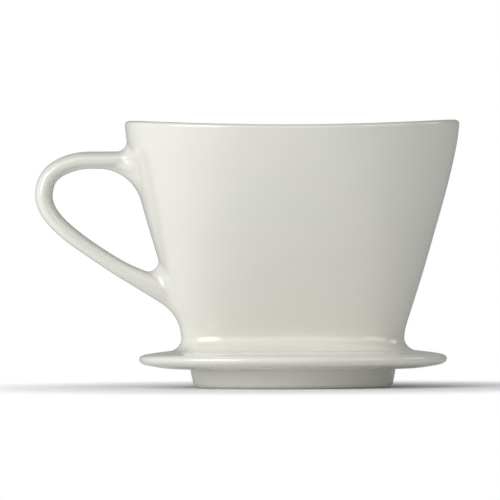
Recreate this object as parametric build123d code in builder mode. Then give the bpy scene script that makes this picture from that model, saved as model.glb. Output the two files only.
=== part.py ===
from build123d import *
import os
from math import cos, exp, pi, sin, sqrt

# Wedge-shaped ceramic pour-over coffee dripper, in millimetres.
#
# +Z is up, the handle is at -X and the long axis of the cone lies along X. The origin is on the
# table, at the centre of the foot ring. The clay is shaped as separate pieces, which are stuck
# together with slip before the one firing: the cone with its ribs, the saucer, the pierced drip
# floor, the foot ring and the handle.

# Heights above the table
RIM_HEIGHT = 104.6  # the two high ends of the rim
RIM_DIP = 3.1  # how far the middle of each long side of the rim lies below its ends
FOOT_HEIGHT = 7.4
SAUCER_EDGE_LOW = 9.0  # the saucer's underside rises to this height at its edge
SAUCER_TOP = 13.3
FLOOR_THICKNESS = 4.0
FLOOR_TOP = FOOT_HEIGHT + FLOOR_THICKNESS
NECK_TOP = 21.0  # the cone is stuck to the saucer's neck here
BLANK_TOP = RIM_HEIGHT + 4.0  # top of the cone before its rim is cut to a saddle

# Outside of the cone: height, half length, half depth, half of the flat stretch of a broad side
NECK_SECTION = (43.3, 17.9, 27.0)
CONE_SECTIONS = (
    (NECK_TOP, 43.6, 18.2, 27.0),
    (28.0, 45.5, 20.6, 26.0),
    (40.0, 49.3, 25.4, 23.5),
    (56.0, 54.1, 32.0, 20.0),
    (74.0, 59.3, 39.3, 16.0),
    (88.0, 62.85, 44.8, 12.5),
    (98.0, 64.75, 48.3, 10.0),
    (BLANK_TOP, 65.6, 50.6, 8.0),
)
WALL = 4.8
RIM_ROUND = 1.9
FLAT_SOFTNESS = 0.45  # how gently a flat side turns into its round end
OUTLINE_POINTS = 24

# Inside of the neck: the trough that the cone narrows to
TROUGH_SECTION = (33.0, 8.0, 24.0)
TROUGH_TOP_SECTION = (36.6, 11.5, 25.0)
OUTLET_DIAMETER = 4.2
OUTLET_PITCH = 19.0
OUTLET_COUNT = 3

# Saucer and foot ring: half length and half depth of their ovals
SAUCER_OVAL = (60.0, 50.0)
SEAT_OVAL = (48.5, 38.5)  # the underside is flat inside this, where it rests on a cup
SAUCER_EDGE_ROUND = 2.1
NECK_FILLET = 6.8
FOOT_TOP_OVAL = (40.0, 36.0)
FOOT_BOTTOM_OVAL = (38.6, 34.6)
FOOT_WALL = 4.4
FOOT_ROUND = 1.5
FOOT_SEAT_DEPTH = 0.6  # the ring is set this deep into a groove under the saucer

# Ribs on the two broad inner walls
RIB_COUNT = 7
RIB_PITCH = 8.6
RIB_WIDTH = 2.2
RIB_PROUD = 1.2
RIB_BOTTOM = NECK_TOP + 0.6
RIB_TOP = 84.0
RIB_STEP_DOWN = 3.2  # each rib ends this much lower than its inner neighbour

# Handle: centre line from inside the cone's end, out, round and back in, as (x, z)
HANDLE_ROUTE = (
    (-54.0, 85.0),
    (-62.0, 86.3),
    (-70.0, 88.1),
    (-78.0, 88.5),
    (-85.5, 87.7),
    (-91.5, 84.8),
    (-95.8, 79.8),
    (-96.5, 73.5),
    (-93.9, 67.0),
    (-88.0, 60.9),
    (-78.0, 53.6),
    (-67.0, 46.2),
    (-56.3, 40.2),
    (-47.0, 36.2),
    (-38.0, 34.6),
)
HANDLE_HALF_THICKNESS = 2.85
HANDLE_HALF_WIDTH = 6.4
BOW_EXTRA = 0.65  # the outer bow is this much thicker, each way
BOW_SKEW = 0.7  # puts the thickest place above the middle of the route
ROOT_EXTRA = 4.9  # how much the ends of the strap swell inside the cone, each way
ROOT_FADE = 12.5
ROOT_FILLET = 4.0
HANDLE_STEPS = 20


def outline(height, section, inset=0.0):
    """A flat-sided oblong as a face at a height."""
    half_length, half_depth, half_flat = section
    reach = half_length - half_flat - inset
    points = []
    for i in range(OUTLINE_POINTS):
        turn = 2 * pi * i / OUTLINE_POINTS
        flat = cos(turn) * sqrt((1 + FLAT_SOFTNESS**2) / (cos(turn) ** 2 + FLAT_SOFTNESS**2))
        x = half_flat * flat + reach * cos(turn)
        points.append((x, (half_depth - inset) * sin(turn)))
    with BuildSketch(Plane.XY.offset(height)) as oblong:
        with BuildLine():
            Spline(*points, periodic=True)
        make_face()
    return oblong.sketch


def oval(height, half_sizes, inset=0.0):
    """An ellipse as a face at a height."""
    with BuildSketch(Plane.XY.offset(height)) as ellipse:
        Ellipse(half_sizes[0] - inset, half_sizes[1] - inset)
    return ellipse.sketch


def inside(proud=0.0):
    """The space inside the cone and the neck, less what stands proud of its wall."""
    faces = [outline(FLOOR_TOP, TROUGH_SECTION, proud), outline(NECK_TOP, TROUGH_TOP_SECTION, proud)]
    faces += [outline(height, section, WALL + proud) for height, *section in CONE_SECTIONS[2:]]
    return loft(faces)


cone_blank = loft([outline(height, section) for height, *section in CONE_SECTIONS])
cavity = inside()

# The cutter that leaves the rim high at its ends and low at the middle of its long sides
rim_reach = CONE_SECTIONS[-1][1] + 5
with BuildPart() as above_rim:
    with BuildSketch(Plane.XZ):
        with BuildLine():
            saddle = ThreePointArc(
                (-rim_reach, RIM_HEIGHT), (0, RIM_HEIGHT - RIM_DIP), (rim_reach, RIM_HEIGHT)
            )
            Polyline(saddle @ 1, (rim_reach, BLANK_TOP + 5), (-rim_reach, BLANK_TOP + 5), saddle @ 0)
        make_face()
    extrude(amount=SAUCER_OVAL[0], both=True)

# Cone: the tapering wall above the neck, with a rolled rim
with BuildPart() as cone_body:
    add(cone_blank)
    add(cavity, mode=Mode.SUBTRACT)
    add(above_rim.part, mode=Mode.SUBTRACT)
    rim_edges = cone_body.edges().filter_by(lambda e: e.center().Z > RIM_HEIGHT - 2 * RIM_DIP)
    fillet(rim_edges.filter_by(lambda e: e.length > rim_reach), RIM_ROUND)

# Ribs: upright ridges that hold the paper off the two broad walls
with BuildPart() as filter_ribs:
    for i in range(RIB_COUNT):
        step = i - (RIB_COUNT - 1) / 2
        height = RIB_TOP - abs(step) * RIB_STEP_DOWN - RIB_BOTTOM
        with Locations((step * RIB_PITCH, 0, RIB_BOTTOM)):
            Box(RIB_WIDTH, 2 * SAUCER_OVAL[1], height, align=(Align.CENTER, Align.CENTER, Align.MIN))
    add(cavity, mode=Mode.INTERSECT)
    add(inside(RIB_PROUD), mode=Mode.SUBTRACT)

# The part of the foot ring that sits in the groove under the saucer
with BuildPart() as foot_seat:
    add(oval(FOOT_HEIGHT, FOOT_TOP_OVAL))
    extrude(amount=FOOT_SEAT_DEPTH)
    add(oval(FOOT_HEIGHT, FOOT_BOTTOM_OVAL, FOOT_WALL))
    extrude(amount=FOOT_SEAT_DEPTH, mode=Mode.SUBTRACT)

# Saucer: the oval plate that rests on the cup, and the neck that carries the cone
with BuildPart() as base_saucer:
    add(oval(FOOT_HEIGHT, SEAT_OVAL))
    add(oval(SAUCER_EDGE_LOW, SAUCER_OVAL))
    loft()
    add(oval(SAUCER_EDGE_LOW, SAUCER_OVAL))
    extrude(amount=SAUCER_TOP - SAUCER_EDGE_LOW)
    fillet(base_saucer.edges().group_by(Axis.Z)[-1], SAUCER_EDGE_ROUND)
    low_edges = base_saucer.edges().filter_by(lambda e: abs(e.center().Z - SAUCER_EDGE_LOW) < 0.1)
    fillet(low_edges.filter_by(GeomType.ELLIPSE), SAUCER_EDGE_ROUND)
    add(outline(FOOT_HEIGHT, NECK_SECTION))
    add(outline(SAUCER_TOP, NECK_SECTION))
    add(outline(NECK_TOP, CONE_SECTIONS[0][1:]))
    loft()
    plate_top = base_saucer.faces().filter_by(Plane.XY).sort_by(Axis.Z)[-2]
    fillet(plate_top.inner_wires().edges(), NECK_FILLET)
    add(cavity, mode=Mode.SUBTRACT)
    add(outline(FOOT_HEIGHT, TROUGH_SECTION))
    extrude(amount=FLOOR_THICKNESS, mode=Mode.SUBTRACT)
    add(foot_seat.part, mode=Mode.SUBTRACT)

# Drip floor: closes the bottom of the trough, with a row of outlets
with BuildPart() as drip_floor:
    add(outline(FOOT_HEIGHT, TROUGH_SECTION))
    extrude(amount=FLOOR_THICKNESS)
    with Locations((0, 0, FLOOR_TOP)):
        with GridLocations(OUTLET_PITCH, 0, OUTLET_COUNT, 1):
            Hole(OUTLET_DIAMETER / 2)

# Foot ring: what the dripper stands on, and what keeps it centred in a cup's mouth
with BuildPart() as foot_ring:
    add(oval(0, FOOT_BOTTOM_OVAL))
    add(oval(FOOT_HEIGHT, FOOT_TOP_OVAL))
    loft()
    fillet(foot_ring.edges().group_by(Axis.Z)[0], FOOT_ROUND)
    add(oval(0, FOOT_BOTTOM_OVAL, FOOT_WALL))
    extrude(amount=FOOT_HEIGHT, mode=Mode.SUBTRACT)
    inner_edge = foot_ring.edges().group_by(Axis.Z)[0].sort_by(SortBy.LENGTH)[0]
    fillet(inner_edge, FOOT_ROUND)
    add(foot_seat.part)

# Handle: an oval strap whose ends swell and are filleted on to the cone's end
with BuildPart() as handle:
    with BuildLine():
        route = Spline(*[(x, 0, z) for x, z in HANDLE_ROUTE])
    for i in range(HANDLE_STEPS + 1):
        share = i / HANDLE_STEPS
        to_root = min(share, 1 - share) * route.length
        bow = BOW_EXTRA * sin(pi * share**BOW_SKEW) ** 2
        swell = bow + ROOT_EXTRA * exp(-((to_root / ROOT_FADE) ** 2))
        with BuildSketch(Plane(origin=route @ share, x_dir=(0, 1, 0), z_dir=route % share)):
            Ellipse(HANDLE_HALF_WIDTH + swell, HANDLE_HALF_THICKNESS + swell)
    loft()
    add(cone_blank)
    beside_cone = handle.edges().filter_by(lambda e: e.center().X < -NECK_SECTION[0])
    fillet(beside_cone.sort_by(SortBy.LENGTH)[:2], ROOT_FILLET)
    add(cone_blank, mode=Mode.SUBTRACT)

os.makedirs("parts", exist_ok=True)

cone_body.part.label = "cone_body"
export_step(cone_body.part, "parts/cone_body.step")

filter_ribs.part.label = "filter_ribs"
export_step(filter_ribs.part, "parts/filter_ribs.step")

base_saucer.part.label = "base_saucer"
export_step(base_saucer.part, "parts/base_saucer.step")

drip_floor.part.label = "drip_floor"
export_step(drip_floor.part, "parts/drip_floor.step")

foot_ring.part.label = "foot_ring"
export_step(foot_ring.part, "parts/foot_ring.step")

handle.part.label = "handle"
export_step(handle.part, "parts/handle.step")
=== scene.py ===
from math import pi

import bpy
import mathutils
import numpy as np
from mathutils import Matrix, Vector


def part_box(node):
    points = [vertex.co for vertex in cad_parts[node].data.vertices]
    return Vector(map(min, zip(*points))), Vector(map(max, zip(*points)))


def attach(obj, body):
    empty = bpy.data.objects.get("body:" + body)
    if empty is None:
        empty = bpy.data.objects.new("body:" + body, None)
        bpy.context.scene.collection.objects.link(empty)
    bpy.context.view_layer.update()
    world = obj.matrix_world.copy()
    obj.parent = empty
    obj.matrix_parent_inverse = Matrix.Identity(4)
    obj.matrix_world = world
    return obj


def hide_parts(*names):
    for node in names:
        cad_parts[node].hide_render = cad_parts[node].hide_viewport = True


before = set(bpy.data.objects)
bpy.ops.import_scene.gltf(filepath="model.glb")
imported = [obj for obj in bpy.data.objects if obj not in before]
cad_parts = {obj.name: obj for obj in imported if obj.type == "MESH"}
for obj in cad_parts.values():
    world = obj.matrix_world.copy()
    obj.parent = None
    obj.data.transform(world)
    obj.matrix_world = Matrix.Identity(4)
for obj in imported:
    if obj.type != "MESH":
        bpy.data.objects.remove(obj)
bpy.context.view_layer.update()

# The porcelain pour-over dripper's looks. Shapes are worked out in millimetres in the CAD frame
# and written to the meshes in metres: +Z up, handle at -X, broad sides facing -Y and +Y.
MM = 0.001


def cad_box(node):
    low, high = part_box(node)
    return np.array(low) / MM, np.array(high) / MM


# ---------------------------------------------------------------- sizes, in mm
cone_low, cone_high = cad_box("cone_body")
saucer_low, saucer_high = cad_box("base_saucer")
rib_low, rib_high = cad_box("filter_ribs")
foot_high = cad_box("foot_ring")[1]
floor_high = cad_box("drip_floor")[1]

NECK_TOP = cone_low[2]
FOOT_HEIGHT = saucer_low[2]
SAUCER_TOP = 13.3
PLATE_RISE = 1.0  # the saucer's top rises this much from its edge to the neck's fillet
PLATE_TOP = SAUCER_TOP + PLATE_RISE
SAUCER_EDGE_LOW = 9.0
SAUCER_HALF = (saucer_high[0], saucer_high[1])
SEAT_OVAL = (48.5, 38.5)  # half length and half depth of the flat that rests on a cup
FLOOR_TOP = floor_high[2]
RIM_DIP = 3.1  # of the saddle's curve, from its ends, beyond the rim, to the middle
RIM_REACH = 70.6  # half length of that curve
RIM_END_HEIGHT = 104.55  # height at the ends of that curve
RIM_ROUND = 1.9
RIM_POWER = 2.2  # of the superellipse that rolls the rim; 2 is a circle

# The wall's plan at each height: height, half length, half depth, half of the flat stretch
OUTER_STATIONS = np.array([
    (8.0, 43.1, 17.9, 27.0),
    (14.0, 43.3, 17.9, 27.0),
    (21.0, 43.6, 18.2, 27.0),
    (28.0, 45.5, 20.6, 26.0),
    (40.0, 49.3, 25.4, 23.5),
    (56.0, 54.1, 32.0, 20.0),
    (74.0, 59.3, 39.3, 16.0),
    (88.0, 62.8, 44.8, 12.5),
    (98.0, 64.7, 48.2, 10.0),
    (108.0, 65.5, 50.6, 8.0),
])
INNER_STATIONS = np.array([
    (6.8, 31.2, 6.2, 23.6),
    (11.4, 33.0, 8.0, 24.0),
    (21.0, 36.6, 11.5, 25.0),
    (40.0, 44.5, 20.6, 23.5),
    (56.0, 49.3, 27.2, 20.0),
    (74.0, 54.5, 34.5, 16.0),
    (88.0, 57.9, 40.0, 12.5),
    (98.0, 59.65, 43.4, 10.0),
    (108.0, 60.3, 45.8, 8.0),
])
FLAT_SOFTNESS = 0.45  # how gently the flat stretch bends into the rounded ends
AROUND = 320  # points round the cone, saucer and foot


# ---------------------------------------------------------------- curves
class SmoothTable:
    """A natural cubic spline through rows of (position, values...)."""

    def __init__(self, rows):
        self.x = rows[:, 0]
        self.y = rows[:, 1:]
        n = len(self.x)
        h = np.diff(self.x)
        system = np.eye(n)
        right = np.zeros((n, self.y.shape[1]))
        for i in range(1, n - 1):
            system[i, i - 1:i + 2] = h[i - 1], 2 * (h[i - 1] + h[i]), h[i]
            slopes = (self.y[i + 1] - self.y[i]) / h[i] - (self.y[i] - self.y[i - 1]) / h[i - 1]
            right[i] = 6 * slopes
        self.bend = np.linalg.solve(system, right)

    def __call__(self, x):
        x = np.asarray(x, float)
        i = np.clip(np.searchsorted(self.x, x) - 1, 0, len(self.x) - 2)
        h = (self.x[i + 1] - self.x[i])[..., None]
        a = (self.x[i + 1] - x)[..., None] / h
        b = 1 - a
        bends = (a**3 - a) * self.bend[i] + (b**3 - b) * self.bend[i + 1]
        return a * self.y[i] + b * self.y[i + 1] + bends * h**2 / 6


outer_section = SmoothTable(OUTER_STATIONS)
inner_section = SmoothTable(INNER_STATIONS)


def flat_cosine(c):
    return c * np.sqrt((1 + FLAT_SOFTNESS**2) / (c * c + FLAT_SOFTNESS**2))


def oblong(turn, section):
    """Points of a flat-sided oblong; a section is its half length, half depth and half flat."""
    half_length, half_depth, half_flat = section[..., 0], section[..., 1], section[..., 2]
    c = np.cos(turn)
    x = half_flat * flat_cosine(c) + (half_length - half_flat) * c
    return np.stack([x, half_depth * np.sin(turn)], -1)


def oblong_normal(turn, section):
    """Outward unit normals of the oblong in plan."""
    step = 1e-4
    along = oblong(turn + step, section) - oblong(turn - step, section)
    return unit(np.stack([along[..., 1], -along[..., 0]], -1))


def unit(vectors):
    return vectors / np.linalg.norm(vectors, axis=-1, keepdims=True)


def dot(a, b):
    return np.sum(a * b, axis=-1, keepdims=True)


def smooth_step(x, low, high):
    t = np.clip((x - low) / (high - low), 0, 1)
    return t * t * (3 - 2 * t)


TURN = np.linspace(0, 2 * pi, AROUND, endpoint=False)

# The neck spreads into the saucer with a fillet that is widest on the broad sides.
END_FILLET = 5.4
SIDE_FILLET = 8.4


def neck_fillet(turn):
    return END_FILLET + (SIDE_FILLET - END_FILLET) * np.sin(turn) ** 4


def outside(turn, z):
    """Points of the outer wall at heights z, with the neck's fillet."""
    section = outer_section(z)
    radius = neck_fillet(turn)
    rise = np.clip(z - PLATE_TOP, 0, radius)
    spread = radius - np.sqrt(np.maximum(radius**2 - (radius - rise) ** 2, 0))
    xy = oblong(turn, section) + spread[..., None] * oblong_normal(turn, section)
    return np.concatenate([xy, z[..., None]], -1)


def inside(turn, z):
    """Points of the inner wall at heights z."""
    return np.concatenate([oblong(turn, inner_section(z)), z[..., None]], -1)


def rim_top(x):
    return RIM_END_HEIGHT - RIM_DIP * (1 - (x / RIM_REACH) ** 2)


def rim_row(across):
    """One row of the rolled rim; across runs from -1 at the outer wall to 1 at the inner."""
    drop = RIM_ROUND * (1 - (1 - abs(across) ** RIM_POWER) ** (1 / RIM_POWER))
    share = (across + 1) / 2
    z = np.full(AROUND, cone_high[2] - drop)
    for _ in range(4):  # the height depends on x, and x a little on the height
        section = (1 - share) * outer_section(z) + share * inner_section(z)
        xy = oblong(TURN, section)
        z = rim_top(xy[:, 0]) - drop
    return np.concatenate([xy, z[:, None]], -1)


# ---------------------------------------------------------------- meshes
def row_tangents(rows):
    """Directions along the rows at each point, true where the rows are unevenly spaced."""
    steps = np.diff(rows, axis=0)
    lengths = np.maximum(np.linalg.norm(steps, axis=-1, keepdims=True), 1e-9)
    before, after = steps[:-1] / lengths[:-1], steps[1:] / lengths[1:]
    share = lengths[:-1] / (lengths[:-1] + lengths[1:])
    middle = (1 - share) * before + share * after
    return np.concatenate([steps[:1] / lengths[:1], middle, steps[-1:] / lengths[-1:]])


def grid_normals(rows):
    """Unit normals of a grid of points (row, column, xyz) that is closed round its columns."""
    across = np.roll(rows, -1, 1) - np.roll(rows, 1, 1)
    normal = np.cross(across, row_tangents(rows))
    return normal / np.maximum(np.linalg.norm(normal, axis=-1, keepdims=True), 1e-12)


# Slow waves in the skin: height, radians per 10 mm along x, y and z, phase
WAVES = (
    (1.0, 0.9, 0.0, 1.3, 0.4),
    (0.8, 0.0, 1.7, -0.8, 2.1),
    (0.6, 0.8, 0.0, 1.9, 4.0),
    (0.4, 3.1, 0.5, 0.0, 1.0),
)
WAVES_TOGETHER = 2.8  # the sum of their heights
WAVE_DEPTH = 0.07
WAVE_START = (0.5, 6.0)  # heights between which the waves set in, above a flat foot


def with_waviness(points, normals):
    """Presses the skin in by a slow unevenness, as glaze and hand finishing leave it."""
    x, y, z = np.moveaxis(points / 10, -1, 0)
    wave = sum(high * np.sin(a * x + b * y + c * z + phase) for high, a, b, c, phase in WAVES)
    depth = WAVE_DEPTH * (1 + wave / WAVES_TOGETHER) * smooth_step(points[..., 2], *WAVE_START)
    return points - depth[..., None] * normals


class MeshPlan:
    """Collects grids and faces of one piece, then writes them as one mesh with its own normals."""

    def __init__(self):
        self.points = []
        self.normals = []
        self.pool_and_shade = []
        self.faces = []
        self.flat = []
        self.count = 0

    def add(self, points, normals, pool_and_shade=0.0):
        """Adds points with normals and a glaze depth, which also sets how much warm shade is
        painted; returns their numbers in the same grid.
        """
        shape = points.shape[:-1]
        self.points.append(points.reshape(-1, 3))
        self.normals.append(np.broadcast_to(normals, points.shape).reshape(-1, 3))
        self.pool_and_shade.append(np.broadcast_to(pool_and_shade, shape).ravel())
        numbers = self.count + np.arange(int(np.prod(shape))).reshape(shape)
        self.count += numbers.size
        return numbers

    def skin(self, numbers, flat=False):
        """Faces between neighbouring rows of point numbers, closed round the columns."""
        upper, lower = numbers[:-1], numbers[1:]
        quads = np.stack([upper, np.roll(upper, -1, 1), np.roll(lower, -1, 1), lower], -1)
        self.add_faces(quads.reshape(-1, 4).tolist(), flat)

    def fan(self, ring, centre):
        """Triangles from a ring of point numbers to one centre point, facing as the ring turns."""
        count = len(ring)
        triangles = [[int(ring[i]), int(ring[(i + 1) % count]), int(centre)] for i in range(count)]
        self.add_faces(triangles, True)

    def tube(self, rows):
        """Adds rows of rings as a closed tube with flat ends, turned so that its skin faces out."""
        normals = grid_normals(rows)
        outward = rows - rows.mean(1, keepdims=True)
        if dot(normals, outward).mean() < 0:
            rows, normals = rows[:, ::-1], -normals[:, ::-1]
        numbers = self.add(rows, normals)
        self.skin(numbers)
        for row, ring in ((rows[0], numbers[0][::-1]), (rows[-1], numbers[-1])):
            centre = self.add(row.mean(0)[None], (0, 0, 1.0))  # flat faces use their own normal
            self.fan(ring, centre[0])

    def add_faces(self, faces, flat):
        self.faces += faces
        self.flat += [flat] * len(faces)

    def build(self, name, material):
        points = np.concatenate(self.points)
        normals = np.concatenate(self.normals)
        pool_and_shade = np.concatenate(self.pool_and_shade)
        mesh = bpy.data.meshes.new(name)
        mesh.from_pydata((points * MM).tolist(), [], self.faces)
        mesh.polygons.foreach_set("use_smooth", [not flat for flat in self.flat])
        # glaze depth per point, which tints the colour as pooled glaze and painted shade
        attribute = mesh.attributes.new("glaze_pool_and_shade", "FLOAT", "POINT")
        attribute.data.foreach_set("value", pool_and_shade.astype(np.float32))
        corners = []
        for polygon, flat in zip(mesh.polygons, self.flat):
            if flat:
                corners += [tuple(polygon.normal)] * polygon.loop_total
            else:
                corners += [tuple(normals[v]) for v in polygon.vertices]
        # stored whole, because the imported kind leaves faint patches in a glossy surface
        stored = mesh.attributes.new("custom_normal", "FLOAT_VECTOR", "CORNER")
        stored.data.foreach_set("vector", np.array(corners, np.float32).ravel())
        mesh.materials.append(material)
        piece = bpy.data.objects.new(name, mesh)
        bpy.context.scene.collection.objects.link(piece)
        return piece


def settle(piece, node):
    """Puts a finished piece in its CAD node's place."""
    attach(piece, "root")
    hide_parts(node)


# ---------------------------------------------------------------- materials
def node(tree, kind, **settings):
    made = tree.nodes.new(kind)
    for key, value in settings.items():
        setattr(made, key, value)
    return made


def map_range(tree, value, low, high, to=(0.0, 1.0), curve="SMOOTHSTEP"):
    """The given value, with the stretch from low to high spread over another stretch."""
    made = node(tree, "ShaderNodeMapRange", interpolation_type=curve)
    made.inputs["From Min"].default_value = low
    made.inputs["From Max"].default_value = high
    made.inputs["To Min"].default_value = to[0]
    made.inputs["To Max"].default_value = to[1]
    tree.links.new(value, made.inputs["Value"])
    return made.outputs["Result"]


# Tints of the body's colour
WARM, COOL = (1.01, 1.0, 0.975), (0.99, 1.0, 1.01)
# the thick glaze tint is partly real pooled glaze and partly a painted warm shade in creases,
# recesses and under the saucer
THICK_GLAZE_AND_SHADE, THIN_GLAZE = (0.97, 0.965, 0.93), (1.012, 1.012, 1.018)
SPECK, DRY_CLAY = (0.72, 0.64, 0.5), (0.98, 0.95, 0.9)

# Noises: scale, detail
DRIFT_NOISE, THICKNESS_NOISE, GLOSS_NOISE = (18, 2), (75, 2), (90, 3)
CLAY_NOISE, RIPPLE_NOISE, PEEL_NOISE = (700, 3), (60, 1), (450, 1)
RIPPLE_BUMP, PEEL_BUMP = (0.5, 0.0001), (0.06, 0.00003)  # strength, height in metres

SPECK_SCALE = 210
SPECK_EDGE = (0.05, 0.02)  # distances from its middle between which a speck fades in
SPECK_CHANCE = (0.9, 0.94)  # cells whose random red is above this have a speck
GLAZE_ROUGHNESS = (0.19, 0.26)
COAT_ROUGHNESS = 0.16
DRY_ROUGHNESS = 0.62
BARE_EDGE = 0.00015  # in metres, half the width of the glaze's edge on the foot


def porcelain(name, base, bare_height=None):
    """Off-white porcelain under a clear glaze, with the colour, depth and ripple of the glaze, and
    a painted warm shade where the glaze pools in creases and recesses.

    Below bare_height, in metres, the glaze was wiped off before firing and the body shows.
    """
    material = bpy.data.materials.new(name)
    material.use_nodes = True
    tree = material.node_tree
    shader = tree.nodes["Principled BSDF"]
    link = tree.links.new
    place = node(tree, "ShaderNodeTexCoord").outputs["Object"]

    def noise(scale, detail):
        made = node(tree, "ShaderNodeTexNoise")
        made.inputs["Scale"].default_value = scale
        made.inputs["Detail"].default_value = detail
        link(place, made.inputs["Vector"])
        return made.outputs["Fac"]

    def blend(factor, first, second, low=0.0, high=1.0):
        mix = node(tree, "ShaderNodeMix", data_type="RGBA")
        link(map_range(tree, factor, low, high), mix.inputs["Factor"])
        for socket, value in ((mix.inputs["A"], first), (mix.inputs["B"], second)):
            if isinstance(value, tuple):
                socket.default_value = (*value, 1)
            else:
                link(value, socket)
        return mix.outputs["Result"]

    def bump(height, strength, distance):
        made = node(tree, "ShaderNodeBump")
        made.inputs["Strength"].default_value = strength
        made.inputs["Distance"].default_value = distance
        link(height, made.inputs["Height"])
        return made

    def tint(factors):
        return tuple(c * factor for c, factor in zip(base, factors))

    # drifting colour, then glaze of uneven thickness, then pooled glaze with painted warm shade,
    # then a few specks
    colour = blend(noise(*DRIFT_NOISE), tint(COOL), tint(WARM), 0.2, 0.8)
    colour = blend(noise(*THICKNESS_NOISE), colour, tint(THIN_GLAZE), 0.3, 0.8)
    # darker, warmer where the glaze pools: part real pooling, part painted shade in the neck's
    # fillet, the inside floor, the outlets and the foot
    pool_and_shade = node(tree, "ShaderNodeAttribute", attribute_name="glaze_pool_and_shade").outputs["Fac"]
    colour = blend(pool_and_shade, colour, tint(THICK_GLAZE_AND_SHADE), 0.0, 1.3)
    cells = node(tree, "ShaderNodeTexVoronoi")
    cells.inputs["Scale"].default_value = SPECK_SCALE
    link(place, cells.inputs["Vector"])
    cell_colour = node(tree, "ShaderNodeSeparateColor")
    link(cells.outputs["Color"], cell_colour.inputs["Color"])
    spotted = node(tree, "ShaderNodeMath", operation="MULTIPLY")
    link(map_range(tree, cells.outputs["Distance"], *SPECK_EDGE), spotted.inputs[0])
    chance = map_range(tree, cell_colour.outputs["Red"], *SPECK_CHANCE, curve="LINEAR")
    link(chance, spotted.inputs[1])
    colour = blend(spotted.outputs[0], colour, tint(SPECK))

    rough = map_range(tree, noise(*GLOSS_NOISE), 0.0, 1.0, to=GLAZE_ROUGHNESS, curve="LINEAR")
    if bare_height is None:
        link(rough, shader.inputs["Roughness"])
        shader.inputs["Coat Weight"].default_value = 1.0
    else:
        height = node(tree, "ShaderNodeSeparateXYZ")
        link(place, height.inputs[0])
        glazed = map_range(
            tree, height.outputs["Z"], bare_height - BARE_EDGE, bare_height + BARE_EDGE
        )
        clay = blend(noise(*CLAY_NOISE), tint(DRY_CLAY), base, 0.3, 0.8)
        colour = blend(glazed, clay, colour)
        roughness = node(tree, "ShaderNodeMix", data_type="FLOAT")
        link(glazed, roughness.inputs["Factor"])
        roughness.inputs["A"].default_value = DRY_ROUGHNESS
        link(rough, roughness.inputs["B"])
        link(roughness.outputs["Result"], shader.inputs["Roughness"])
        link(glazed, shader.inputs["Coat Weight"])
    link(colour, shader.inputs["Base Color"])
    shader.inputs["IOR"].default_value = 1.5
    shader.inputs["Coat Roughness"].default_value = COAT_ROUGHNESS
    shader.inputs["Coat IOR"].default_value = 1.5

    ripple = bump(noise(*RIPPLE_NOISE), *RIPPLE_BUMP)
    peel = bump(noise(*PEEL_NOISE), *PEEL_BUMP)
    link(ripple.outputs["Normal"], peel.inputs["Normal"])
    link(peel.outputs["Normal"], shader.inputs["Normal"])
    link(peel.outputs["Normal"], shader.inputs["Coat Normal"])
    return material


BASE = (0.72, 0.715, 0.66)  # the body's colour, linear
BARE_HEIGHT = 0.0007
wall_glaze = porcelain("wall_glaze", BASE)
foot_glaze = porcelain("foot_glaze", BASE, BARE_HEIGHT)

# ---------------------------------------------------------------- the skin, in rows
# How many rows each stretch of the skin has, with the rows that it shares with its neighbours
UNDER_ROWS, EDGE_ROWS, PLATE_ROWS, NECK_ROWS = 20, 46, 16, 26
CONE_ROWS, RIM_ROWS, INNER_ROWS, TROUGH_ROWS, DISH_ROWS = 96, 25, 80, 10, 12
FLOOR_ROUND = 2.4  # between the trough's wall and its floor
POOL_AND_SHADE_RISE, POOL_AND_SHADE_FALL = (11.5, 14.0), (15.0, 26.0)  # heights that the pooled glaze and its painted shade lie between
INSIDE_POOL_AND_SHADE, OUTLET_POOL_AND_SHADE, FOOT_POOL_AND_SHADE = 0.5, 0.3, 0.2  # how thick the glaze is there, which also sets how much shade is painted

# The saucer's edge from its flat seat, round the nose and on to its top: inset, height
SEAT_INSET = 11.5
EDGE_STATIONS = np.array([
    (SEAT_INSET, FOOT_HEIGHT),
    (8.5, FOOT_HEIGHT + 0.35),
    (5.5, SAUCER_EDGE_LOW - 0.75),
    (3.0, SAUCER_EDGE_LOW - 0.3),
    (1.3, SAUCER_EDGE_LOW + 0.3),
    (0.35, SAUCER_EDGE_LOW + 1.15),
    (0.03, SAUCER_EDGE_LOW + 2.1),
    (0.3, SAUCER_EDGE_LOW + 3.0),
    (1.2, SAUCER_TOP - 0.65),
    (2.6, SAUCER_TOP - 0.2),
    (4.4, SAUCER_TOP + 0.12),
    (6.4, SAUCER_TOP + 0.4),
])


def chord_lengths(points):
    """The distance along a flat polyline to each of its points."""
    return np.r_[0, np.cumsum(np.hypot(*np.diff(points, axis=0).T))]


def edge_profile(share):
    chord = chord_lengths(EDGE_STATIONS)
    return SmoothTable(np.column_stack([chord / chord[-1], EDGE_STATIONS]))(share)


def oval_row(half_x, half_y, z):
    return np.stack([half_x * np.cos(TURN), half_y * np.sin(TURN), np.full(AROUND, z)], -1)


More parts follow.
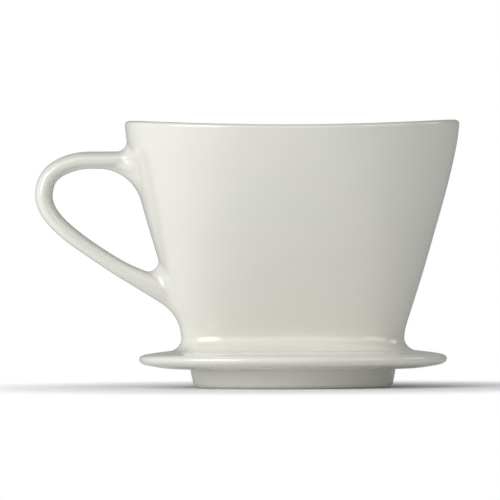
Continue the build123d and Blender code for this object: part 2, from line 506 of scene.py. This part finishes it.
def build_skin():
    """Rows of the outer and inner skin in one run, so that normals agree where pieces meet."""
    turns = TURN[None, :]
    level = np.zeros_like(turns)
    rows = {}

    seam = inside(TURN, np.full(AROUND, FLOOR_TOP))
    seam[:, 2] = FOOT_HEIGHT
    seat = oval_row(*SEAT_OVAL, FOOT_HEIGHT)
    share = np.linspace(0, 1, UNDER_ROWS)[:-1, None, None]
    rows["under"] = seam + share * (seat - seam)

    edge_x, edge_y = SAUCER_HALF
    edge = []
    for inset, z in edge_profile(np.linspace(0, 1, EDGE_ROWS)):
        share = inset / SEAT_INSET
        half_x = edge_x - share * (edge_x - SEAT_OVAL[0])
        half_y = edge_y - share * (edge_y - SEAT_OVAL[1])
        edge.append(oval_row(half_x, half_y, z))
    rows["edge"] = np.array(edge)

    fillet_foot = outside(TURN, np.full(AROUND, PLATE_TOP))
    share = np.linspace(0, 1, PLATE_ROWS)[1:-1, None, None]
    rows["plate"] = rows["edge"][-1] + share * (fillet_foot - rows["edge"][-1])

    climb = np.linspace(0, 1, NECK_ROWS)[:, None] ** 2 * (NECK_TOP - PLATE_TOP)
    rows["neck"] = outside(turns, PLATE_TOP + climb + level)
    wall_top = rim_row(-1.0)[:, 2]
    share = np.linspace(0, 1, CONE_ROWS)[1:, None]
    rows["cone"] = outside(turns, NECK_TOP + share * (wall_top - NECK_TOP))
    across = np.sin(np.linspace(-pi / 2, pi / 2, RIM_ROWS))[1:]
    rows["rim"] = np.array([rim_row(u) for u in across])

    wall_top = rows["rim"][-1][:, 2]
    share = np.linspace(0, 1, INNER_ROWS)[1:, None]
    rows["inner"] = inside(turns, wall_top + share * (NECK_TOP - wall_top))
    floor_round = FLOOR_TOP + FLOOR_ROUND
    share = np.linspace(0, 1, TROUGH_ROWS)[1:, None]
    rows["trough"] = inside(turns, NECK_TOP + share * (floor_round - NECK_TOP) + level)
    dish = []
    for angle in np.radians(np.linspace(0, 90, DISH_ROWS))[1:]:
        z = np.full(AROUND, FLOOR_TOP + FLOOR_ROUND * (1 - np.sin(angle)))
        row = inside(TURN, z)
        row[:, :2] -= FLOOR_ROUND * (1 - np.cos(angle)) * oblong_normal(TURN, inner_section(z))
        dish.append(row)
    rows["dish"] = np.array(dish)

    names = ["under", "edge", "plate", "neck", "cone", "rim", "inner", "trough", "dish"]
    full = np.concatenate([rows[name] for name in names])
    full = with_waviness(full, grid_normals(full))
    full[:len(rows["under"]), :, 2] = FOOT_HEIGHT  # the seat and the floor stay flat
    full[-1, :, 2] = FLOOR_TOP
    normals = grid_normals(full)
    skin = {}
    start = 0
    for name in names:
        end = start + len(rows[name])
        skin[name] = (full[start:end], normals[start:end])
        start = end
    return skin


skin = build_skin()


def joined(*parts):
    """Rows and normals of several stretches of the skin, one after another."""
    return tuple(np.concatenate([part[i] for part in parts]) for i in (0, 1))


def last(part):
    return tuple(values[-1:] for values in part)


def neck_pool_and_shade(points):
    """Glaze gathers in the fillet between neck and saucer, and a warm shade is painted there too.
    """
    z = points[..., 2]
    return smooth_step(z, *POOL_AND_SHADE_RISE) * (1 - smooth_step(z, *POOL_AND_SHADE_FALL))


def build_cone():
    plan = MeshPlan()
    points, normals = joined(last(skin["neck"]), skin["cone"], skin["rim"], skin["inner"])
    numbers = plan.add(points, normals, neck_pool_and_shade(points))
    plan.skin(numbers)
    plan.skin(numbers[[-1, 0]], flat=True)
    return plan.build("cone", wall_glaze)


def build_saucer():
    plan = MeshPlan()
    outer, outer_normals = joined(skin["under"], skin["edge"], skin["plate"], skin["neck"])
    outer_numbers = plan.add(outer, outer_normals, neck_pool_and_shade(outer))
    inner, inner_normals = joined(last(skin["inner"]), skin["trough"], skin["dish"])
    inner_numbers = plan.add(inner, inner_normals, INSIDE_POOL_AND_SHADE)
    plan.skin(outer_numbers)
    plan.skin(inner_numbers)
    plan.skin(np.stack([outer_numbers[-1], inner_numbers[0]]), flat=True)
    plan.skin(np.stack([inner_numbers[-1], outer_numbers[0]]), flat=True)
    return plan.build("saucer", wall_glaze)


settle(build_cone(), "cone_body")
settle(build_saucer(), "base_saucer")


# ---------------------------------------------------------------- drip floor
OUTLET_RADIUS = 2.1
OUTLET_PITCH = 19.0
OUTLET_ROUND = 0.8
OUTLET_POINTS = 48
OUTLET_ROWS = 7  # in each of its two rounded edges


def fill_flat(plan, ring_points, ring_numbers, up):
    """Triangles of a flat area: the first ring is its outline and the others are its holes."""
    coords, edges, numbers = [], [], []
    for points, ids in zip(ring_points, ring_numbers):
        first = len(coords)
        count = len(points)
        coords += [mathutils.Vector((p[0], p[1])) for p in points]
        edges += [(first + i, first + (i + 1) % count) for i in range(count)]
        numbers += [int(i) for i in ids]
    triangulated = mathutils.geometry.delaunay_2d_cdt(coords, edges, [], 1, 1e-6)
    vertices, _, faces, origins = triangulated[:4]
    holes = [np.mean(points[:, :2], axis=0) for points in ring_points[1:]]
    radii = [np.linalg.norm(points[0, :2] - c) for points, c in zip(ring_points[1:], holes)]
    triangles = []
    for face in faces:
        middle = sum((vertices[i] for i in face), mathutils.Vector((0, 0))) / 3
        if any(np.hypot(*(np.array(middle) - c)) < r for c, r in zip(holes, radii)):
            continue
        corners = [numbers[origins[i][0]] for i in face]
        a, b, c = (vertices[i] for i in face)
        turns_left = (b - a).cross(c - a) > 0
        triangles.append(corners if turns_left == up else corners[::-1])
    plan.add_faces(triangles, True)


def build_floor():
    plan = MeshPlan()
    outline = skin["dish"][0][-1]
    outline_numbers = plan.add(outline, (0, 0, 1.0), INSIDE_POOL_AND_SHADE)
    seam = skin["under"][0][0]
    seam_numbers = plan.add(seam, (0, 0, -1.0))
    plan.skin(np.stack([seam_numbers, outline_numbers]), flat=True)
    top_rings, top_numbers = [outline], [outline_numbers]
    low_rings, low_numbers = [seam], [seam_numbers]
    circle = np.linspace(0, 2 * pi, OUTLET_POINTS, endpoint=False)
    angle = np.linspace(0, pi / 2, OUTLET_ROWS)
    radius = OUTLET_RADIUS + OUTLET_ROUND * (1 - np.sin(angle))
    depth = OUTLET_ROUND * (1 - np.cos(angle))
    radii = np.concatenate([radius, radius[::-1]])
    heights = np.concatenate([FLOOR_TOP - depth, FOOT_HEIGHT + depth[::-1]])
    for place in (-1, 0, 1):
        hole = np.array([
            np.stack([
                place * OUTLET_PITCH + r * np.cos(circle),
                r * np.sin(circle),
                np.full(OUTLET_POINTS, z),
            ], -1)
            for r, z in zip(radii, heights)
        ])
        numbers = plan.add(hole, grid_normals(hole), OUTLET_POOL_AND_SHADE)
        plan.skin(numbers)
        top_rings.append(hole[0])
        top_numbers.append(numbers[0])
        low_rings.append(hole[-1])
        low_numbers.append(numbers[-1])
    fill_flat(plan, top_rings, top_numbers, up=True)
    fill_flat(plan, low_rings, low_numbers, up=False)
    return plan.build("outlet_floor", wall_glaze)


settle(build_floor(), "drip_floor")


# ---------------------------------------------------------------- foot ring
FOOT_WALL = 4.4
FOOT_DRAFT = 1.4  # the outer side leans in this much on its way down
FOOT_ROUND = 1.7
FOOT_FLARE = 0.4


def build_foot():
    """An oval ring with a drafted side, rounded bottom edges and small flares under the saucer."""
    top_x, top_y = foot_high[0], foot_high[1]
    side = []  # how far out it is from an upright side, and height
    for angle in np.radians(np.linspace(0, 90, 8)):
        drop = FOOT_FLARE * (1 - np.cos(angle))
        side.append((FOOT_FLARE * (1 - np.sin(angle)), FOOT_HEIGHT - drop))
    for z in np.linspace(FOOT_HEIGHT - FOOT_FLARE, FOOT_ROUND, 10)[1:-1]:
        side.append((0.0, z))
    for angle in np.radians(np.linspace(0, 90, 12)):
        side.append((-FOOT_ROUND * (1 - np.cos(angle)), FOOT_ROUND * (1 - np.sin(angle))))
    outer = [(out - FOOT_DRAFT * (1 - z / FOOT_HEIGHT), z) for out, z in side]
    inner = [(-FOOT_WALL - FOOT_DRAFT - out, z) for out, z in side]
    # down the inner side and up the outer one, so that the skin's normals point out
    profile = inner + outer[::-1]
    rows = np.array([oval_row(top_x + reach, top_y + reach, z) for reach, z in profile])
    plan = MeshPlan()
    numbers = plan.add(rows, grid_normals(rows), FOOT_POOL_AND_SHADE)
    plan.skin(numbers)
    plan.skin(numbers[[-1, 0]], flat=True)
    return plan.build("foot", foot_glaze)


settle(build_foot(), "foot_ring")


# ---------------------------------------------------------------- handle
# The centre line from the upper root to the lower one: x, z, half thickness, half width
HANDLE_STATIONS = np.array([
    (-77.0, 88.65, 3.45, 6.7),
    (-81.5, 88.5, 3.45, 6.6),
    (-86.2, 87.5, 3.5, 6.5),
    (-91.0, 85.4, 3.5, 6.5),
    (-94.65, 82.1, 3.5, 6.5),
    (-96.4, 77.7, 3.55, 6.5),
    (-96.45, 73.1, 3.45, 6.5),
    (-94.5, 68.25, 3.3, 6.5),
    (-90.4, 63.3, 3.2, 6.5),
    (-84.7, 58.4, 3.15, 6.5),
    (-78.0, 53.6, 3.05, 6.5),
    (-72.4, 49.85, 3.1, 6.6),
    (-67.0, 46.45, 3.25, 6.7),
    (-62.0, 43.72, 3.55, 6.9),
    (-57.5, 41.45, 4.05, 7.2),
])
LOWER_ROOT_START = 4.6  # the strap hands over to its lower root this far before its last station
HANDLE_AROUND = 96
HANDLE_ROWS = 150
OVAL_POWER = 2.15  # of the strap's section, a superellipse

# Fillet radii of the roots: above the strap, below it and beside it
UPPER_ROOT = (3.7, 16.4, 6.0)
LOWER_ROOT = (3.8, 17.0, 5.5)
ROOT_BLEND = 1.5  # how late the radius beside the strap gives way to the other two
ROOT_REACH = 0.94  # a fillet starts at most this share of the way back to the strap's end
ROOT_LEAD_ROWS, ROOT_ROWS = 7, 26  # rows up to a fillet's start, and in the fillet
WALL_SEARCH = 40.0  # the wall is at most this far ahead of the strap's end
WALL_SEARCH_STEPS = 50  # halvings of that distance


def end_wall_x(y, z):
    """Where the cone's end at -X is, for each y and z."""
    section = outer_section(z)
    c = np.sqrt(np.maximum(1 - (y / section[..., 1]) ** 2, 0))
    return -(section[..., 2] * flat_cosine(c) + (section[..., 0] - section[..., 2]) * c)


def end_wall_normal(y, z):
    step = 1e-3
    slope_y = (end_wall_x(y + step, z) - end_wall_x(y - step, z)) / (2 * step)
    slope_z = (end_wall_x(y, z + step) - end_wall_x(y, z - step)) / (2 * step)
    normal = np.stack([-np.ones_like(slope_y), slope_y, slope_z], -1)
    return unit(normal)


def root_rows(ring, heading, radius):
    """Rows that carry the strap's end on to the wall and spread it there with a fillet."""
    near, far = np.zeros(len(ring)), np.full(len(ring), WALL_SEARCH)
    for _ in range(WALL_SEARCH_STEPS):
        half = (near + far) / 2
        p = ring + half[:, None] * heading
        outside_wall = p[:, 0] < end_wall_x(p[:, 1], p[:, 2])
        near, far = np.where(outside_wall, half, near), np.where(outside_wall, far, half)
    hit = ring + near[:, None] * heading
    normal = end_wall_normal(hit[:, 1], hit[:, 2])
    away = hit - hit.mean(0)
    spread = unit(away - dot(away, normal) * normal)
    back = -heading
    side = unit(spread - dot(spread, back) * back)
    angle = np.arccos(np.clip(dot(spread, back)[:, 0], -1, 1))
    reach = np.minimum(radius / np.tan(angle / 2), ROOT_REACH * near)
    radius = reach * np.tan(angle / 2)
    start = hit + reach[:, None] * back
    rows = [ring + s * (start - ring) for s in np.linspace(0, 1, ROOT_LEAD_ROWS)[1:]]
    centre = start + radius[:, None] * side
    for s in np.linspace(0, 1, ROOT_ROWS)[1:]:
        sweep = (s * (pi - angle))[:, None]
        flat = centre + radius[:, None] * (heading * np.sin(sweep) - side * np.cos(sweep))
        # the flat fillet's end would miss the curved wall, so it is bent on to it more and more
        height = dot(flat - hit, normal)
        base = flat - height * normal
        base[:, 0] = end_wall_x(base[:, 1], base[:, 2])
        bent = base + height * end_wall_normal(base[:, 1], base[:, 2])
        weight = smooth_step(s, 0.0, 1.0)
        rows.append((1 - weight) * flat + weight * bent)
    return np.array(rows)


def build_handle():
    chord = chord_lengths(HANDLE_STATIONS[:, :2])
    line = SmoothTable(np.column_stack([chord, HANDLE_STATIONS]))
    along = np.linspace(0, chord[-1] - LOWER_ROOT_START, HANDLE_ROWS)
    values = line(along)
    heading = unit(line(along + 0.01)[:, :2] - line(along - 0.01)[:, :2])
    turn = np.linspace(0, 2 * pi, HANDLE_AROUND, endpoint=False)
    power = 2 / OVAL_POWER
    oval_y = np.sign(np.cos(turn)) * np.abs(np.cos(turn)) ** power
    oval_t = np.sign(np.sin(turn)) * np.abs(np.sin(turn)) ** power
    strap = []
    for (x, z, half_thickness, half_width), (hx, hz) in zip(values, heading):
        lift = half_thickness * oval_t
        strap.append(np.stack([x - hz * lift, half_width * oval_y, z + hx * lift], -1))
    strap = np.array(strap)

    def root_radius(above, below, beside, upward):
        share = upward * oval_t
        towards = np.where(share > 0, above, below)
        return beside + (towards - beside) * np.abs(share) ** ROOT_BLEND

    first = unit(strap[0] - strap[1])
    upper = root_rows(strap[0], first, root_radius(*UPPER_ROOT, -1))[::-1]
    final = unit(strap[-1] - strap[-2])
    lower = root_rows(strap[-1], final, root_radius(*LOWER_ROOT, 1))
    rows = np.concatenate([upper, strap, lower])
    plan = MeshPlan()
    plan.tube(with_waviness(rows, grid_normals(rows)))
    return plan.build("loop_handle", wall_glaze)


settle(build_handle(), "handle")

# ---------------------------------------------------------------- ribs
RIB_COUNT = 7
RIB_PITCH = 8.6
RIB_HALF_WIDTH = 1.5
RIB_PROUD = 1.2
RIB_STEP_DOWN = 3.2  # each rib's top is this much lower than that of the one nearer the middle
RIB_CROWN = 1.2  # how sharply a rib's section falls from its ridge
RIB_END = 2.5  # length over which a rib rises from the wall at its lower end
RIB_TOP_STRETCH = 2.5  # its upper end is this many times as long
RIB_EDGE_SUNK = 0.05  # its long edges lie this far inside the wall
RIB_ROOT = 0.4  # its back lies this far inside the wall
RIB_ROWS, RIB_ACROSS = 70, 15
TURN_STEPS = 721


def turn_at(x, z):
    """The angle in the first half turn at which the inner wall stands at x."""
    turns = np.linspace(0, pi, TURN_STEPS)
    xs = inside(turns, np.full(TURN_STEPS, z))[:, 0]
    return np.interp(x, xs[::-1], turns[::-1])


def build_ribs():
    plan = MeshPlan()
    across = np.linspace(-1, 1, RIB_ACROSS)
    for side in (-1, 1):
        for i in range(RIB_COUNT):
            step = i - (RIB_COUNT - 1) / 2
            top = rib_high[2] - abs(step) * RIB_STEP_DOWN
            rows = []
            for share in np.linspace(0, 1, RIB_ROWS):
                z = rib_low[2] + share * (top - rib_low[2])
                end = min(z - rib_low[2], (top - z) / RIB_TOP_STRETCH)
                proud = RIB_PROUD * np.sqrt(1 - (1 - min(end / RIB_END, 1)) ** 2)
                x = step * RIB_PITCH + RIB_HALF_WIDTH * across
                turn = turn_at(x, z)
                level = np.full(RIB_ACROSS, z)
                wall = inside(turn, level)
                plan_normal = oblong_normal(turn, inner_section(level))
                lift = proud * (1 - across**2) ** RIB_CROWN - RIB_EDGE_SUNK
                ridge = wall.copy()
                ridge[:, :2] -= lift[:, None] * plan_normal
                under = wall.copy()
                under[:, :2] += RIB_ROOT * plan_normal
                row = np.concatenate([ridge, under[::-1]])
                row[:, 1] *= side
                rows.append(row)
            plan.tube(np.array(rows))
    return plan.build("ribs", wall_glaze)


settle(build_ribs(), "filter_ribs")


# ---------------------------------------------------------------- table, light and camera, in m
TABLE_RADIUS = 1.2
TABLE_CORNERS = 64
TABLE_FADE = (0.05, 0.16)  # distances from the origin between which the table fades out


def build_table():
    """A white table top that fades into the white backdrop away from the dripper."""
    mesh = bpy.data.meshes.new("table_top")
    turns = np.linspace(0, 2 * pi, TABLE_CORNERS, endpoint=False)
    ring = [(TABLE_RADIUS * np.cos(t), TABLE_RADIUS * np.sin(t), 0) for t in turns]
    mesh.from_pydata(ring, [], [tuple(range(TABLE_CORNERS))])
    table = bpy.data.objects.new("table_top", mesh)
    bpy.context.scene.collection.objects.link(table)
    material = bpy.data.materials.new("table_white")
    material.use_nodes = True
    tree = material.node_tree
    shader = tree.nodes["Principled BSDF"]
    shader.inputs["Base Color"].default_value = (0.86, 0.86, 0.86, 1)
    shader.inputs["Roughness"].default_value = 0.9
    away = node(tree, "ShaderNodeVectorMath", operation="LENGTH")
    tree.links.new(node(tree, "ShaderNodeTexCoord").outputs["Object"], away.inputs[0])
    faded = map_range(tree, away.outputs["Value"], *TABLE_FADE, to=(1.0, 0.0))
    tree.links.new(faded, shader.inputs["Alpha"])
    mesh.materials.append(material)


ROOM_LIGHT = (1.1, 0.24, 0.44, 0.4, 1.8, 0.05)  # brightness towards -X, +X, -Y, +Y, -Z, +Z


def build_world(room_light):
    """The backdrop is white to the camera; the room lights the dripper softly from each side."""
    world = bpy.data.worlds.new("studio")
    world.use_nodes = True
    tree = world.node_tree
    tree.nodes.clear()
    link = tree.links.new

    def math(operation, *values):
        made = node(tree, "ShaderNodeMath", operation=operation)
        for socket, value in zip(made.inputs, values):
            if isinstance(value, float):
                socket.default_value = value
            else:
                link(value, socket)
        return made.outputs[0]

    apart = node(tree, "ShaderNodeSeparateXYZ")
    link(node(tree, "ShaderNodeTexCoord").outputs["Generated"], apart.inputs[0])
    total = None
    for i, axis in enumerate("XYZ"):
        along = apart.outputs[axis]
        low, high = room_light[2 * i:2 * i + 2]
        brightness = math("MULTIPLY_ADD", math("LESS_THAN", along, 0.0), low - high, high)
        share = math("MULTIPLY", math("MULTIPLY", along, along), brightness)
        total = share if total is None else math("ADD", total, share)
    room = node(tree, "ShaderNodeBackground")
    link(total, room.inputs["Strength"])
    seen = node(tree, "ShaderNodeBackground")
    seen.inputs["Color"].default_value = (1, 1, 1, 1)
    mix = node(tree, "ShaderNodeMixShader")
    link(node(tree, "ShaderNodeLightPath").outputs["Is Camera Ray"], mix.inputs["Fac"])
    link(room.outputs[0], mix.inputs[1])
    link(seen.outputs[0], mix.inputs[2])
    link(mix.outputs[0], node(tree, "ShaderNodeOutputWorld").inputs["Surface"])
    bpy.context.scene.world = world


LIGHT_AIM = mathutils.Vector((0, 0, 0.05))
LIGHT_DISTANCE = 1.6


def softbox(name, azimuth, elevation, size, power):
    """A soft light; azimuth is 0 in front of the dripper and grows towards +X."""
    a, e = np.radians(azimuth), np.radians(elevation)
    way = mathutils.Vector((np.sin(a) * np.cos(e), -np.cos(a) * np.cos(e), np.sin(e)))
    data = bpy.data.lights.new(name, "AREA")
    data.shape = "RECTANGLE"
    data.size, data.size_y = size
    data.energy = power
    lamp = bpy.data.objects.new(name, data)
    lamp.location = LIGHT_AIM + LIGHT_DISTANCE * way
    lamp.rotation_euler = (-way).to_track_quat("-Z", "Y").to_euler()
    bpy.context.scene.collection.objects.link(lamp)


build_table()
build_world(ROOM_LIGHT)
# name, azimuth, elevation, size in metres, power in watts
softbox("key", -54, 20, (1.2, 0.95), 12.8)
softbox("front_high", -20, 44, (1.9, 1.3), 8.0)
softbox("right_fill", 50, 26, (1.1, 0.8), 4.6)
softbox("right_edge", 100, 24, (0.6, 0.6), 2.2)

CAMERA_DISTANCE = 2.5
CAMERA_ROLL = np.radians(0.22)
FRAME_WIDTH = 0.1945  # of the picture, at the dripper's distance
SENSOR_WIDTH = 36  # in mm, as is the lens
camera_data = bpy.data.cameras.new("camera")
camera = bpy.data.objects.new("camera", camera_data)
bpy.context.scene.collection.objects.link(camera)
camera.location = (-0.01655, -CAMERA_DISTANCE, 0.0535)
camera.rotation_euler = (pi / 2, CAMERA_ROLL, 0)
camera_data.sensor_width = SENSOR_WIDTH
camera_data.lens = SENSOR_WIDTH * CAMERA_DISTANCE / FRAME_WIDTH
camera_data.clip_end = 20
bpy.context.scene.camera = camera
bpy.context.scene.view_settings.view_transform = "Standard"
